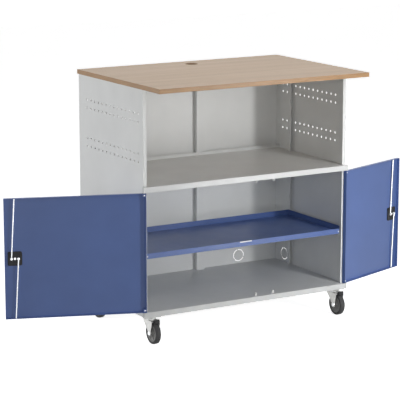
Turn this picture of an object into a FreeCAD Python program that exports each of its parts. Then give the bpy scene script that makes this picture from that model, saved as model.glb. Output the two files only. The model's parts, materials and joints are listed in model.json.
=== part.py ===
import FreeCAD, Part
import math
import os

import Sketcher
from FreeCAD import Placement, Rotation, Vector

# Mobile workshop cupboard bench, in millimetres, +Z up.
# It is drawn with X = 0 on the outside of the left side, Y = 0 on the front edge of the sides and
# Z = 0 on the floor.  shift_x and shift_y then move it, so that the finished part's origin is the
# bottom centre of its box with both doors swung open.

DRIVING = {
    # carcass
    "wide": 1050, "deep": 600, "tall": 1000, "sheet": 1.5, "edge_flange": 16, "hem": 2,
    "rear_flange": 20, "rail_tall": 24, "rail_proud": 17, "rail_overlap": 7, "doorway": 530,
    "back_face": 577, "upstand": 15, "stile_left": 590, "stile_wide": 41, "stile_deep": 24,
    "drain_x": 561, "drain_y": 517, "drain_dia": 12,
    # perforation of the upper sides
    "hole_dia": 10, "hole_pitch": 36.5, "hole_first": 45, "hole_low": 800, "hole_group": 174,
    # notched uprights
    "post_front": 424, "post_wide": 20, "post_deep": 17, "notch_low": 28, "notch_pitch": 100,
    "notch_tall": 14, "notch_deep": 6,
    # keepers for the door rods
    "keeper_aside": 8, "keeper_y": 5, "keeper_dia": 6, "keeper_out": 13,
    # worktop
    "board_thick": 20, "board_deep": 760, "board_front": 163, "board_side": 10, "edging": 2,
    "port_dia": 60, "port_x": 531, "port_y": 500,
    # shelf
    "shelf_front": 10, "shelf_back": 437, "shelf_floor": 386, "shelf_low": 376,
    "shelf_front_lip": 400, "shelf_rim": 413, "shelf_inset": 19,
    # cable knock-outs
    "knock_dia": 58, "knock_up": 183, "knock_side": 212, "knock_back": 103, "knock_gap": 0.6,
    "knock_rim": 3,
    # castors
    "castor_tall": 120, "wheel_dia": 100, "tread": 24, "trail": 28, "castor_in": 40,
    "castor_front": 18, "castor_rear": 530, "axle_dia": 10, "stem_dia": 16, "plate_thick": 3,
    "running": 0.05, "arm_gap": 3, "arm_thick": 2.5, "crown_low": 104, "crown_high": 107,
    "pedal_y": 44, "pedal_z": 101.5, "pedal_pin": 5, "rim_wide": 11, "tyre_round": 6,
    "race_dia": 50, "head_dia": 44, "axle_head": 17, "hub_core": 30,
    # doors
    "door_split": 612.5, "door_gap": 1.5, "door_thick": 16, "pin_in": 4, "pin_front": 10,
    "pin_dia": 6, "past_front": 20, "lock_in": 45.5, "lock_size": 62, "throw": 15, "rod_dia": 5.6,
    "rod_line": 7.2,
}

doc = FreeCAD.newDocument("cupboard_bench")
sheet = doc.addObject("Spreadsheet::Sheet", "sheet")
for row, (alias, value) in enumerate(DRIVING.items(), start=1):
    sheet.set(f"A{row}", alias)
    sheet.set(f"B{row}", str(value))
    sheet.setAlias(f"B{row}", alias)
doc.recompute()

SUBPARTS = []


def size(alias):
    """The number in the sheet under this alias."""
    return float(sheet.get(alias))


def bound(text):
    """An expression with every alias in it turned into a reference to the sheet."""
    words = []
    word = ""
    for letter in text + " ":
        if letter.isalnum() or letter in "_.":
            word += letter
        else:
            words.append(f"sheet.{word}" if word in DRIVING else word)
            words.append(letter)
            word = ""
    return "".join(words).strip()


def value_of(text):
    """The same expression worked out as a number."""
    probe = doc.addObject("App::FeaturePython", "probe")
    probe.addProperty("App::PropertyFloat", "result")
    probe.setExpression("result", bound(text))
    probe.recompute()
    result = probe.result
    doc.removeObject(probe.Name)
    return result


# ---------------------------------------------------------------- small building helpers

def keep(piece, label):
    """Name a finished sub-part; the label is also its file's name."""
    piece.Label = label
    SUBPARTS.append(piece)
    return piece


def box(corner, sides, name="block"):
    """A box from its low corner and its three sides, all of them expressions."""
    block = doc.addObject("Part::Box", name)
    for side, text in zip(("Length", "Width", "Height"), sides):
        block.setExpression(side, bound(text))
    for axis, text in zip("xyz", corner):
        block.setExpression(f".Placement.Base.{axis}", bound(text))
    return block


def span(low, high, name="block"):
    """A box from its low corner to its high corner."""
    sides = [f"({top}) - ({bottom})" for bottom, top in zip(low, high)]
    return box(low, sides, name)


def rod(start, direction, diameter, length, name="round"):
    """A cylinder that starts at a point and runs along +X, +Y or +Z."""
    turned = {"x": Rotation(Vector(0, 1, 0), 90), "y": Rotation(Vector(1, 0, 0), -90),
              "z": Rotation()}
    cylinder = doc.addObject("Part::Cylinder", name)
    cylinder.Placement = Placement(Vector(), turned[direction])
    cylinder.setExpression("Radius", bound(f"({diameter}) / 2"))
    cylinder.setExpression("Height", bound(length))
    for axis, text in zip("xyz", start):
        cylinder.setExpression(f".Placement.Base.{axis}", bound(text))
    return cylinder


def together(pieces, name="joined"):
    """One object from several; pieces that don't touch stay separate solids."""
    joined = doc.addObject("Part::MultiFuse", name)
    joined.Shapes = pieces
    joined.Refine = True
    return joined


def minus(base, tools, name="cut"):
    """A base with one tool or several taken out of it."""
    cut = doc.addObject("Part::Cut", name)
    cut.Base = base
    cut.Tool = tools[0] if len(tools) == 1 else together(tools, "tools")
    cut.Refine = True
    return cut


def new_body(label, origin=("0", "0", "0")):
    """A PartDesign body at a place given by expressions."""
    body = doc.addObject("PartDesign::Body", label)
    for axis, text in zip("xyz", origin):
        body.setExpression(f".Placement.Base.{axis}", bound(text))
    return keep(body, label)


def sketch_on(body, plane, lift="0"):
    """An empty sketch on one of the body's own origin planes, lifted off it by a distance."""
    sketch = body.newObject("Sketcher::SketchObject", "sketch")
    planes = [item for item in body.Origin.OriginFeatures if item.Role == plane]
    sketch.AttachmentSupport = (planes[0], "")
    sketch.MapMode = "FlatFace"
    sketch.setExpression(".AttachmentOffset.Base.z", bound(lift))
    return sketch


def outline(sketch, corners):
    """A closed outline through corners whose two coordinates are expressions."""
    numbers = [Vector(value_of(across), value_of(up), 0) for across, up in corners]
    first = sketch.GeometryCount
    for index, corner in enumerate(numbers):
        following = numbers[(index + 1) % len(numbers)]
        sketch.addGeometry(Part.LineSegment(corner, following), False)
    for index in range(len(corners)):
        follower = first + (index + 1) % len(corners)
        sketch.addConstraint(Sketcher.Constraint("Coincident", first + index, 2, follower, 1))
    for index, (across, up) in enumerate(corners):
        for kind, text, number in (("DistanceX", across, numbers[index].x),
                                   ("DistanceY", up, numbers[index].y)):
            which = sketch.addConstraint(Sketcher.Constraint(kind, first + index, 1, number))
            sketch.setExpression(f"Constraints[{which}]", bound(text))


def circle(sketch, across, up, diameter):
    """A circle whose centre and diameter are expressions."""
    centre = Vector(value_of(across), value_of(up), 0)
    index = sketch.addGeometry(
        Part.Circle(centre, Vector(0, 0, 1), value_of(diameter) / 2), False)
    for kind, text, number in (("DistanceX", across, centre.x), ("DistanceY", up, centre.y)):
        which = sketch.addConstraint(Sketcher.Constraint(kind, index, 3, number))
        sketch.setExpression(f"Constraints[{which}]", bound(text))
    which = sketch.addConstraint(Sketcher.Constraint("Diameter", index, value_of(diameter)))
    sketch.setExpression(f"Constraints[{which}]", bound(diameter))


def pad(body, sketch, length, both_ways=False, backwards=False):
    """Material added along the sketch's normal."""
    feature = body.newObject("PartDesign::Pad", "pad")
    feature.Profile = sketch
    feature.Midplane = both_ways
    feature.Reversed = backwards
    feature.setExpression("Length", bound(length))
    return feature


def pocket(body, sketch, length, both_ways=False, backwards=False):
    """Material taken away; it must make the body smaller."""
    doc.recompute()
    before = body.Shape.Volume
    feature = body.newObject("PartDesign::Pocket", "pocket")
    feature.Profile = sketch
    feature.Midplane = both_ways
    feature.Reversed = backwards
    feature.setExpression("Length", bound(length))
    doc.recompute()
    if not body.Shape.Volume < before - 0.01:
        raise RuntimeError(f"the pocket in {body.Label} cuts nothing")
    return feature


# ---------------------------------------------------------------- carcass

DECK = "castor_tall + rail_tall"
RAIL_LOW = "castor_tall + rail_tall + doorway"
RAIL_TOP = "castor_tall + 2 * rail_tall + doorway"
TOP = "castor_tall + tall"
LOCK_X = {"left": "door_split - lock_in", "right": "door_split + lock_in"}
PIN_X = {"left": "pin_in", "right": "wide - pin_in"}


def side_panel(name, first_column):
    """A side: sheet with a hemmed front edge, a rear flange and the perforated upper field."""
    left = name == "left"
    outer = "0" if left else "wide"
    inward = "+" if left else "-"
    body = new_body(f"side_{name}", ("0", "0", "castor_tall"))
    sketch = sketch_on(body, "XY_Plane")
    outline(sketch, [
        (outer, "0"),
        (f"{outer} {inward} edge_flange", "0"),
        (f"{outer} {inward} edge_flange", "hem"),
        (f"{outer} {inward} sheet", "hem"),
        (f"{outer} {inward} sheet", "deep - sheet"),
        (f"{outer} {inward} rear_flange", "deep - sheet"),
        (f"{outer} {inward} rear_flange", "deep"),
        (outer, "deep"),
    ])
    pad(body, sketch, "tall")
    holes = sketch_on(body, "YZ_Plane", outer)
    for group in range(2):
        for line in range(2):
            for column in range(first_column, 14):
                circle(holes, f"hole_first + hole_pitch * {column}",
                       f"hole_low - castor_tall + hole_group * {group} + hole_pitch * {line}",
                       "hole_dia")
    circle(holes, "deep - knock_back", "knock_up - castor_tall", "knock_dia")
    pocket(body, holes, "sheet * 3", both_ways=True)
    return body


def rail(label, low, holes):
    """A front rail: a channel open to the back, wider than the carcass, with closed ends."""
    high = f"{low} + rail_tall"
    shell = span(("-rail_overlap", "-rail_proud", low), ("wide + rail_overlap", "0", high))
    hollow = span(("sheet - rail_overlap", "sheet - rail_proud", f"{low} + sheet"),
                  ("wide + rail_overlap - sheet", "1", f"{high} - sheet"))
    return keep(minus(shell, [hollow] + holes, label), label)


def rail_holes(level, aside):
    """Clearance holes in a rail's face next to the doors: two rods and two hinge bushes."""
    holes = []
    for name in ("left", "right"):
        start = (f"{LOCK_X[name]} {aside} 1.5", "-rod_line", level)
        holes.append(rod(start, "z", "14", "4"))
        holes.append(rod((PIN_X[name], "-pin_front", level), "z", "pin_dia + 3", "4"))
    return holes


def deck(label, top, middle):
    """A deck with down-turned edges; the middle one has an upstand near its rear and a drain."""
    low = f"{top} - rail_tall"
    parts = [
        span(("sheet", "hem", f"{top} - sheet"), ("wide - sheet", "back_face", top)),
        span(("edge_flange", "0", low), ("wide - edge_flange", "sheet", top)),
        span(("edge_flange", "0", f"{top} - sheet"), ("wide - edge_flange", "hem", top)),
        span(("sheet", "back_face - sheet", low), ("wide - sheet", "back_face", top)),
    ]
    if not middle:
        return keep(together(parts, label), label)
    parts.append(span(("sheet", "back_face - sheet * 2 - stile_deep", f"{top} - sheet"),
                      ("wide - sheet", "back_face - sheet - stile_deep", f"{top} + upstand")))
    drain = rod(("drain_x", "drain_y", f"{top} - sheet - 1"), "z", "drain_dia", "sheet + 2")
    return keep(minus(together(parts), [drain], label), label)


def back_panel(label, low_x, high_x, knock_x):
    """A back panel: a tray with its face to the inside and its edges turned to the rear."""
    face = span((low_x, "back_face", "castor_tall"), (high_x, "deep - sheet", TOP))
    hollow = span((f"{low_x} + sheet", "back_face + sheet", "castor_tall + sheet"),
                  (f"{high_x} - sheet", "deep + 5", f"{TOP} - sheet"))
    hole = rod((knock_x, "back_face - 2", "knock_up"), "y", "knock_dia", "6")
    return keep(minus(face, [hollow, hole], label), label)


def stile(label, low, high):
    """The centre stile: a channel in front of the joint between the two back panels."""
    shell = span(("stile_left", "back_face - sheet - stile_deep", low),
                 ("stile_left + stile_wide", "back_face - sheet", high))
    hollow = span(("stile_left + sheet", "back_face - stile_deep", f"{low} - 1"),
                  ("stile_left + stile_wide - sheet", "back_face", f"{high} + 1"))
    return keep(minus(shell, [hollow], label), label)


def upright(label, name, low, high):
    """A shelf upright: a channel on the side, open to the front, with notches in its edge."""
    near = "sheet" if name == "left" else "wide - sheet - post_deep"
    far = "sheet + post_deep" if name == "left" else "wide - sheet"
    shell = span((near, "post_front", low), (far, "post_front + post_wide", high))
    hollow = span((f"{near} + sheet", "post_front - 1", f"{low} - 1"),
                  (f"{far} - sheet", "post_front + post_wide - sheet", f"{high} + 1"))
    edge = "post_deep" if name == "left" else near
    count = math.ceil(value_of(f"({high} - ({low}) - notch_low) / notch_pitch"))
    notches = []
    for index in range(count):
        notches.append(box((f"{edge} - 1", "post_front - 1",
                            f"{low} + notch_low + notch_pitch * {index}"),
                           ("sheet + 2", "notch_deep + 1", "notch_tall")))
    return keep(minus(shell, [hollow] + notches, label), label)


def keepers():
    """Studs inside the doorway beside the door rods: two on the base deck, two hanging above."""
    studs = []
    for name in ("left", "right"):
        centre = (f"{LOCK_X[name]} + keeper_aside", "keeper_y")
        studs.append(rod(centre + (DECK,), "z", "keeper_dia", "keeper_out"))
        studs.append(rod(centre + (f"{RAIL_LOW} - keeper_out",), "z", "keeper_dia",
                         "keeper_out + rail_tall - sheet"))
    keep(together(studs, "rod_keepers"), "rod_keepers")


def carcass():
    """Everything of the cupboard that doesn't move."""
    side_panel("left", 0)
    side_panel("right", 1)
    rail("rail_base", "castor_tall", rail_holes("castor_tall + rail_tall - 2", "-"))
    rail("rail_middle", RAIL_LOW, rail_holes(f"{RAIL_LOW} - 2", "+"))
    deck("deck_base", DECK, False)
    deck("deck_middle", RAIL_TOP, True)
    joint = "stile_left + stile_wide / 2"
    back_panel("back_left", "sheet", joint, "knock_side")
    back_panel("back_right", joint, "wide - sheet", "wide - knock_side")
    stile("stile_lower", DECK, RAIL_LOW)
    stile("stile_upper", RAIL_TOP, TOP)
    for name in ("left", "right"):
        upright(f"upright_lower_{name}", name, DECK, f"{RAIL_TOP} - sheet")
        upright(f"upright_upper_{name}", name, RAIL_TOP, TOP)
    channels = []
    for low_x in ("sheet", "wide - sheet - castor_in * 2"):
        channels.append(span((low_x, "hem", "castor_tall"),
                             (f"{low_x} + castor_in * 2", "back_face - sheet",
                              "castor_tall + 3")))
        for edge in (low_x, f"{low_x} + castor_in * 2 - 3"):
            channels.append(span((edge, "hem", "castor_tall"),
                                 (f"{edge} + 3", "back_face - sheet", f"{DECK} - sheet")))
    keep(together(channels, "base_channels"), "base_channels")
    for label, near, far in (("top_rail_front", "hem", "hem + 40"),
                             ("top_rail_rear", "back_face - sheet - 66",
                              "back_face - sheet - stile_deep")):
        shell = span(("edge_flange + 4", near, f"{TOP} - rail_tall"),
                     ("wide - edge_flange - 4", far, TOP))
        hollow = span(("edge_flange + 4 - 1", f"{near} + hem", f"{TOP} - rail_tall - 1"),
                      ("wide - edge_flange - 4 + 1", f"{far} - hem", f"{TOP} - hem"))
        keep(minus(shell, [hollow], label), label)


def knockouts():
    """Pressed-in blanking discs with a rim, in both back panels and both sides."""
    discs = []
    for x in ("knock_side", "wide - knock_side"):
        plug = rod((x, "back_face", "knock_up"), "y", "knock_dia - 2 * knock_gap", "sheet")
        rim = rod((x, "back_face + sheet", "knock_up"), "y", "knock_dia + 2 * knock_rim", "1.2")
        discs.append(together([plug, rim]))
    for start, rim_at in (("0", "sheet"), ("wide - sheet", "wide - sheet - 1.2")):
        centre = ("deep - knock_back", "knock_up")
        plug = rod((start,) + centre, "x", "knock_dia - 2 * knock_gap", "sheet")
        rim = rod((rim_at,) + centre, "x", "knock_dia + 2 * knock_rim", "1.2")
        discs.append(together([plug, rim]))
    keep(together(discs, "knockout_discs"), "knockout_discs")


def bushes():
    """Hinge bushes in the two rails, one above and one below each door."""
    rings = []
    for name in ("left", "right"):
        for low, flange_low in ((f"{DECK} - sheet - 6", f"{DECK} - sheet - 1"),
                                (RAIL_LOW, f"{RAIL_LOW} + sheet")):
            body = rod((PIN_X[name], "-pin_front", low), "z", "pin_dia + 3", "sheet + 6")
            flange = rod((PIN_X[name], "-pin_front", flange_low), "z", "pin_dia + 4.8", "1")
            bore = rod((PIN_X[name], "-pin_front", f"{low} - 1"), "z",
                       "pin_dia + 2 * running", "sheet + 8")
            rings.append(minus(together([body, flange]), [bore]))
    keep(together(rings, "hinge_bushes"), "hinge_bushes")


# ---------------------------------------------------------------- worktop

def worktop():
    """The board with its cable port, and the strip glued round its four edges."""
    board = new_body("worktop_board", ("edging - board_side", "edging - board_front", TOP))
    long_side = "wide + 2 * board_side - 2 * edging"
    short_side = "board_deep - 2 * edging"
    face = sketch_on(board, "XY_Plane")
    outline(face, [("0", "0"), (long_side, "0"), (long_side, short_side), ("0", short_side)])
    pad(board, face, "board_thick")
    port = sketch_on(board, "XY_Plane")
    circle(port, "port_x + board_side - edging", "port_y + board_front - edging", "port_dia")
    pocket(board, port, "board_thick + 1", backwards=True)
    outer = span(("-board_side", "-board_front", TOP),
                 ("wide + board_side", "board_deep - board_front", f"{TOP} + board_thick"))
    inner = span(("edging - board_side", "edging - board_front", f"{TOP} - 1"),
                 ("wide + board_side - edging", "board_deep - board_front - edging",
                  f"{TOP} + board_thick + 1"))
    keep(minus(outer, [inner], "worktop_edging"), "worktop_edging")


# ---------------------------------------------------------------- shelf

def shelf():
    """A tray shelf: raised rim at the back and sides, a lower box edge at the front."""
    left, right = "shelf_inset", "wide - shelf_inset"
    parts = [
        span((left, "shelf_front", "shelf_floor"), (right, "shelf_back", "shelf_floor + sheet")),
        span((left, "shelf_back - sheet", "shelf_floor"), (right, "shelf_back", "shelf_rim")),
        span((left, "shelf_front", "shelf_low"), (right, "shelf_front + sheet",
                                                  "shelf_front_lip")),
        span((left, "shelf_front", "shelf_low"), (right, "shelf_front + 22",
                                                  "shelf_low + sheet")),
        span((left, "shelf_front + 20.5", "shelf_low"), (right, "shelf_front + 22",
                                                         "shelf_floor + 1")),
    ]
    for x in (left, f"{right} - sheet"):
        parts.append(span((x, "shelf_front", "shelf_floor"), (f"{x} + sheet", "shelf_back",
                                                              "shelf_rim")))
    keep(together(parts, "shelf_tray"), "shelf_tray")
    clips = []
    for name in ("left", "right"):
        wall = "sheet" if name == "left" else "wide - sheet - 3"
        reach_low = "sheet" if name == "left" else "wide - shelf_inset - 14"
        reach_high = "shelf_inset + 14" if name == "left" else "wide - sheet"
        for near in ("shelf_front + 26", "shelf_back - 58"):
            clips.append(span((reach_low, near, "shelf_floor - 3"),
                              (reach_high, f"{near} + 30", "shelf_floor")))
            clips.append(span((wall, near, "shelf_floor - 24"),
                              (f"{wall} + 3", f"{near} + 30", "shelf_floor")))
    keep(together(clips, "shelf_clips"), "shelf_clips")


# ---------------------------------------------------------------- castors

def castor(corner, x, y, braked):
    """One castor: fork that swivels, axle, wheel hub and tyre, and a brake pedal on two."""
    wheel_y = f"{y} - trail"
    axle_z = "wheel_dia / 2"
    arm_in = "tread / 2 + arm_gap"
    arm_out = "tread / 2 + arm_gap + arm_thick"

    # fork: a block of the outer shape, hollowed from below and open in front of the crown
    fork = new_body(f"fork_{corner}", (x, y, "0"))
    side = sketch_on(fork, "YZ_Plane")
    outline(side, [
        ("-trail - 11", "wheel_dia / 2 + 4"), ("-trail - 8", "wheel_dia / 2 - 9"),
        ("-trail + 8", "wheel_dia / 2 - 9"), ("-trail + 13", "wheel_dia / 2 + 2"),
        ("24", "crown_low - 6"), ("24", "crown_high"),
        ("-trail - 22", "crown_high"), ("-trail - 22", "crown_low - 8"),
    ])
    pad(fork, side, f"({arm_out}) * 2", both_ways=True)
    gap = sketch_on(fork, "YZ_Plane")
    outline(gap, [("-trail - 60", "-10"), ("60", "-10"), ("60", "crown_low"),
                  ("-trail - 11", "crown_low"), ("-trail - 11", "castor_tall"),
                  ("-trail - 60", "castor_tall")])
    pocket(fork, gap, f"({arm_in}) * 2", both_ways=True)
    bore = sketch_on(fork, "YZ_Plane")
    circle(bore, "-trail", "wheel_dia / 2", "axle_dia")
    pocket(fork, bore, "100", both_ways=True)
    if braked:
        pivot = sketch_on(fork, "YZ_Plane")
        circle(pivot, "-pedal_y", "pedal_z", "pedal_pin + 2 * running")
        pocket(fork, pivot, "100", both_ways=True)
    head = sketch_on(fork, "XY_Plane", "crown_high")
    circle(head, "0", "0", "head_dia")
    pad(fork, head, "2")
    stem = sketch_on(fork, "XY_Plane", "crown_high")
    circle(stem, "0", "0", "stem_dia")
    pad(fork, stem, "castor_tall - crown_high - 0.5")

    shaft = rod((f"{x} - ({arm_out})", wheel_y, axle_z), "x", "axle_dia", f"({arm_out}) * 2")
    heads = []
    for start in (f"{x} - ({arm_out}) - 4", f"{x} + ({arm_out})"):
        heads.append(rod((start, wheel_y, axle_z), "x", "axle_head", "4"))
    keep(together([shaft] + heads, f"axle_{corner}"), f"axle_{corner}")

    hub_core = rod((f"{x} - tread / 2 - 2", wheel_y, axle_z), "x", "hub_core", "tread + 4")
    hub_disc = rod((f"{x} - tread / 2 + 2", wheel_y, axle_z), "x", "wheel_dia - 2 * rim_wide",
                   "tread - 4")
    hub_bore = rod((f"{x} - tread", wheel_y, axle_z), "x", "axle_dia + 2 * running", "tread * 2")
    keep(minus(together([hub_core, hub_disc]), [hub_bore], f"hub_{corner}"), f"hub_{corner}")

    tyre_out = rod((f"{x} - tread / 2", wheel_y, axle_z), "x", "wheel_dia", "tread")
    round_edge = doc.addObject("Part::Fillet", "round_edge")
    round_edge.Base = tyre_out
    doc.recompute()
    round_edge.Edges = [(number, size("tyre_round"), size("tyre_round"))
                        for number, edge in enumerate(tyre_out.Shape.Edges, start=1)
                        if isinstance(edge.Curve, Part.Circle)]
    tyre_in = rod((f"{x} - tread", wheel_y, axle_z), "x", "wheel_dia - 2 * rim_wide", "tread * 2")
    keep(minus(round_edge, [tyre_in], f"tyre_{corner}"), f"tyre_{corner}")

    # brake pedal: a neck that rises in front of the crown to a tread plate with a turned-down lip
    if braked:
        pedal = new_body(f"pedal_{corner}", (x, y, "0"))
        bar = sketch_on(pedal, "YZ_Plane")
        outline(bar, [
            ("3 - pedal_y", "pedal_z + 1.1"), ("3 - pedal_y", "pedal_z - 2"),
            ("-pedal_y - 3", "pedal_z - 2.6"), ("-pedal_y - 7", "pedal_z + 6"),
            ("-pedal_y - 15", "pedal_z + 9"), ("-pedal_y - 15", "pedal_z - 6"),
            ("-pedal_y - 18", "pedal_z - 6"), ("-pedal_y - 18", "pedal_z + 14.5"),
            ("-pedal_y - 6", "pedal_z + 11.5"), ("-pedal_y - 2.5", "pedal_z + 2.8"),
        ])
        pad(pedal, bar, "tread", both_ways=True)
        pin = sketch_on(pedal, "YZ_Plane")
        circle(pin, "-pedal_y", "pedal_z", "pedal_pin")
        pad(pedal, pin, f"({arm_out}) * 2", both_ways=True)


def castors():
    """Four castors under the base channels; the front two have brakes."""
    plates = []
    for side, x in (("left", "castor_in"), ("right", "wide - castor_in")):
        for end, y in (("front", "castor_front"), ("rear", "castor_rear")):
            castor(f"{end}_{side}", x, y, end == "front")
            flat = span((f"{x} - 37", f"{y} - 34", "castor_tall - plate_thick"),
                        (f"{x} + 37", f"{y} + 46", "castor_tall"))
            race = rod((x, y, "castor_tall - 10.5"), "z", "race_dia", "10.5 - plate_thick")
            bore = rod((x, y, "castor_tall - 11"), "z", "stem_dia + 2 * running", "12")
            plates.append(minus(together([flat, race]), [bore]))
    keep(together(plates, "castor_plates"), "castor_plates")


# ---------------------------------------------------------------- doors

DOOR_LOW = f"{DECK} + 2"
DOOR_HIGH = f"{RAIL_LOW} - 2"
DOOR_MID = f"({DECK} + {RAIL_LOW}) / 2"
SHEET_FACE = "pin_front - rail_proud + sheet"


def door(name):
    """A door with its lock, drawn shut about its hinge pins and then swung open."""
    left = name == "left"
    far = "door_split - door_gap / 2 - pin_in" if left else \
        "wide - pin_in - door_split - door_gap / 2"
    near = "door_gap - pin_in"

    def across(low, high):
        """X of a stretch from the hinge pins, mirrored on the right door."""
        if left:
            return low, high
        return f"-({high})", f"-({low})"

    def slab(low, high):
        """A box on the door; its X runs from the pins towards the free edge."""
        low_x, high_x = across(low[0], high[0])
        return span((low_x, low[1], low[2]), (high_x, high[1], high[2]))

    sign = 1 if left else -1
    hinge = Vector(value_of(PIN_X[name]), -size("pin_front"), 0)
    swing = Placement(hinge, Rotation(Vector(0, 0, 1), sign * (180 - size("past_front"))))
    front = "pin_front - rail_proud"
    back = "pin_front - rail_proud + door_thick"
    lock_x = f"({far}) + door_gap / 2 - lock_in" if left else f"-(({far}) + door_gap / 2 - lock_in)"

    # tray with slotted guides for the rods in its top and bottom edges
    shell = slab((near, front, DOOR_LOW), (far, back, DOOR_HIGH))
    hollow = slab((f"{near} + sheet", SHEET_FACE, f"{DOOR_LOW} + sheet"),
                  (f"({far}) - sheet", f"{back} + 1", f"{DOOR_HIGH} - sheet"))
    holes = []
    for low, aside in ((f"{DOOR_LOW} - 1", "-"), (f"{DOOR_HIGH} - 2.5", "+")):
        for shift in ("-0.4", "1.5", "3.4"):
            centre = f"{lock_x} {aside} ({shift})"
            holes.append(rod((centre, "pin_front - rod_line", low), "z", "rod_dia + 0.8", "4"))
        holes.append(rod(("0", "0", low), "z", "pin_dia", "4"))
    spindle = rod((lock_x, f"{front} - 1", DOOR_MID), "y", "16.4", "5")
    tray = keep(minus(shell, [hollow, spindle] + holes, f"door_{name}"), f"door_{name}")

    # lock strip along the free edge, in two lengths above and below the lock case
    strips = []
    for low, high in ((f"{DOOR_LOW} + sheet", f"{DOOR_MID} - lock_size / 2"),
                      (f"{DOOR_MID} + lock_size / 2", f"{DOOR_HIGH} - sheet")):
        strips.append(slab((f"({far}) - 45", SHEET_FACE, low),
                           (f"({far}) - sheet", f"{SHEET_FACE} + 2", high)))
    strip = keep(together(strips, f"lock_strip_{name}"), f"lock_strip_{name}")

    # hinge pins with a block inside each corner of the tray
    pins = []
    for block_low, pin_low in ((f"{DOOR_LOW} + sheet", f"{DOOR_LOW} - 9"),
                               (f"{DOOR_HIGH} - sheet - 14", f"{DOOR_HIGH} - sheet")):
        block = slab((f"{near} + sheet", SHEET_FACE, block_low),
                     ("12", f"{SHEET_FACE} + 11", f"{block_low} + 14"))
        pin = rod(("0", "0", pin_low), "z", "pin_dia", "10.5")
        pins.append(together([block, pin]))
    hinges = keep(together(pins, f"hinge_pins_{name}"), f"hinge_pins_{name}")

    # lock case: a square plate with a round recess for the cam
    half = "lock_size / 2"
    case = span((f"{lock_x} - {half}", SHEET_FACE, f"{DOOR_MID} - {half}"),
                (f"{lock_x} + {half}", f"{SHEET_FACE} + 4.4", f"{DOOR_MID} + {half}"))
    recess = rod((lock_x, f"{SHEET_FACE} + 1.5", DOOR_MID), "y", "44", "5")
    through = rod((lock_x, f"{SHEET_FACE} - 1", DOOR_MID), "y", "16.4", "5")
    lock_case = keep(minus(case, [recess, through], f"lock_case_{name}"), f"lock_case_{name}")

    # cam with two rod pins, and the handle on the outside
    cam = [rod((lock_x, f"{SHEET_FACE} + 1.8", DOOR_MID), "y", "42", "2.9"),
           rod((lock_x, f"{front} - 4", DOOR_MID), "y", "16", "sheet + 7"),
           rod((lock_x, f"{SHEET_FACE} + 4", DOOR_MID), "y", "13", "3")]
    for side in ("- throw", "+ throw"):
        centre = f"{lock_x} {side}"
        cam.append(rod((centre, f"{SHEET_FACE} + 4", DOOR_MID), "y", "5", "8.5"))
        cam.append(rod((centre, f"{SHEET_FACE} + 11.8", DOOR_MID), "y", "8", "1.2"))
    plate = keep(together(cam, f"lock_cam_{name}"), f"lock_cam_{name}")
    rose = rod((lock_x, f"{front} - 6", DOOR_MID), "y", "46", "5.5")
    grip = span((f"{lock_x} - 9", f"{front} - 22", f"{DOOR_MID} - 38"),
                (f"{lock_x} + 9", f"{front} - 5", f"{DOOR_MID} + 38"))
    socket = rod((lock_x, f"{front} - 4", DOOR_MID), "y", "16", "6")
    handle = keep(minus(together([rose, grip]), [socket], f"handle_{name}"), f"handle_{name}")

    for piece in (tray, strip, hinges, lock_case, plate, handle):
        piece.Placement = swing

    # two rods: each has an eye on a cam pin and leans so that its end lies on the lock's line
    reach = value_of(f"({DOOR_HIGH} - ({DOOR_LOW})) / 2") - 0.5
    lean = math.degrees(math.asin(size("throw") / reach))
    level = size("pin_front") - size("rod_line")
    for label, half_turn in (("upper", 0), ("lower", 180)):
        eye = rod(("0", "-3.2", "0"), "y", "11", "6.4")
        bar = rod(("0", "0", "3.5"), "z", "rod_dia", f"{reach} - 3.5")
        hole = rod(("0", "-4", "0"), "y", "5 + 2 * running", "8")
        part = keep(minus(together([eye, bar]), [hole], f"rod_{label}_{name}"),
                    f"rod_{label}_{name}")
        pin_x = value_of(lock_x) + size("throw") * (1 if half_turn == 0 else -1)
        local = Placement(Vector(pin_x, level, value_of(DOOR_MID)),
                          Rotation(Vector(0, 1, 0), half_turn - lean))
        part.Placement = swing.multiply(local)


# ---------------------------------------------------------------- the whole part

carcass()
knockouts()
keepers()
bushes()
worktop()
shelf()
castors()
for door_name in ("left", "right"):
    door(door_name)
doc.recompute()

# the origin goes to the bottom centre of the box, with the doors open
extent = FreeCAD.BoundBox()
for piece in SUBPARTS:
    extent.add(piece.Shape.optimalBoundingBox(True, False))
shift_x = -(extent.XMin + extent.XMax) / 2
shift_y = -(extent.YMin + extent.YMax) / 2
shift = Vector(shift_x, shift_y, 0)

for item in doc.Objects:
    if "Invalid" in item.State or "Error" in item.State:
        raise RuntimeError(f"{item.Label} did not recompute: {item.State}")
os.makedirs("parts", exist_ok=True)
for piece in SUBPARTS:
    if piece.Shape.isNull() or not piece.Shape.isValid():
        raise RuntimeError(f"{piece.Label} has no valid shape")
    moved = piece.Shape.copy()
    moved.translate(shift)
    moved.exportStep(f"parts/{piece.Label}.step")
print(len(SUBPARTS), "sub-parts; shift", round(shift_x, 3), round(shift_y, 3))
print("box", [round(n, 3) for n in (extent.XMin, extent.YMin, extent.ZMin,
                                    extent.XMax, extent.YMax, extent.ZMax)])
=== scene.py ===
import json
import math

import bmesh
import bpy
from mathutils import Matrix, Vector

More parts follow.
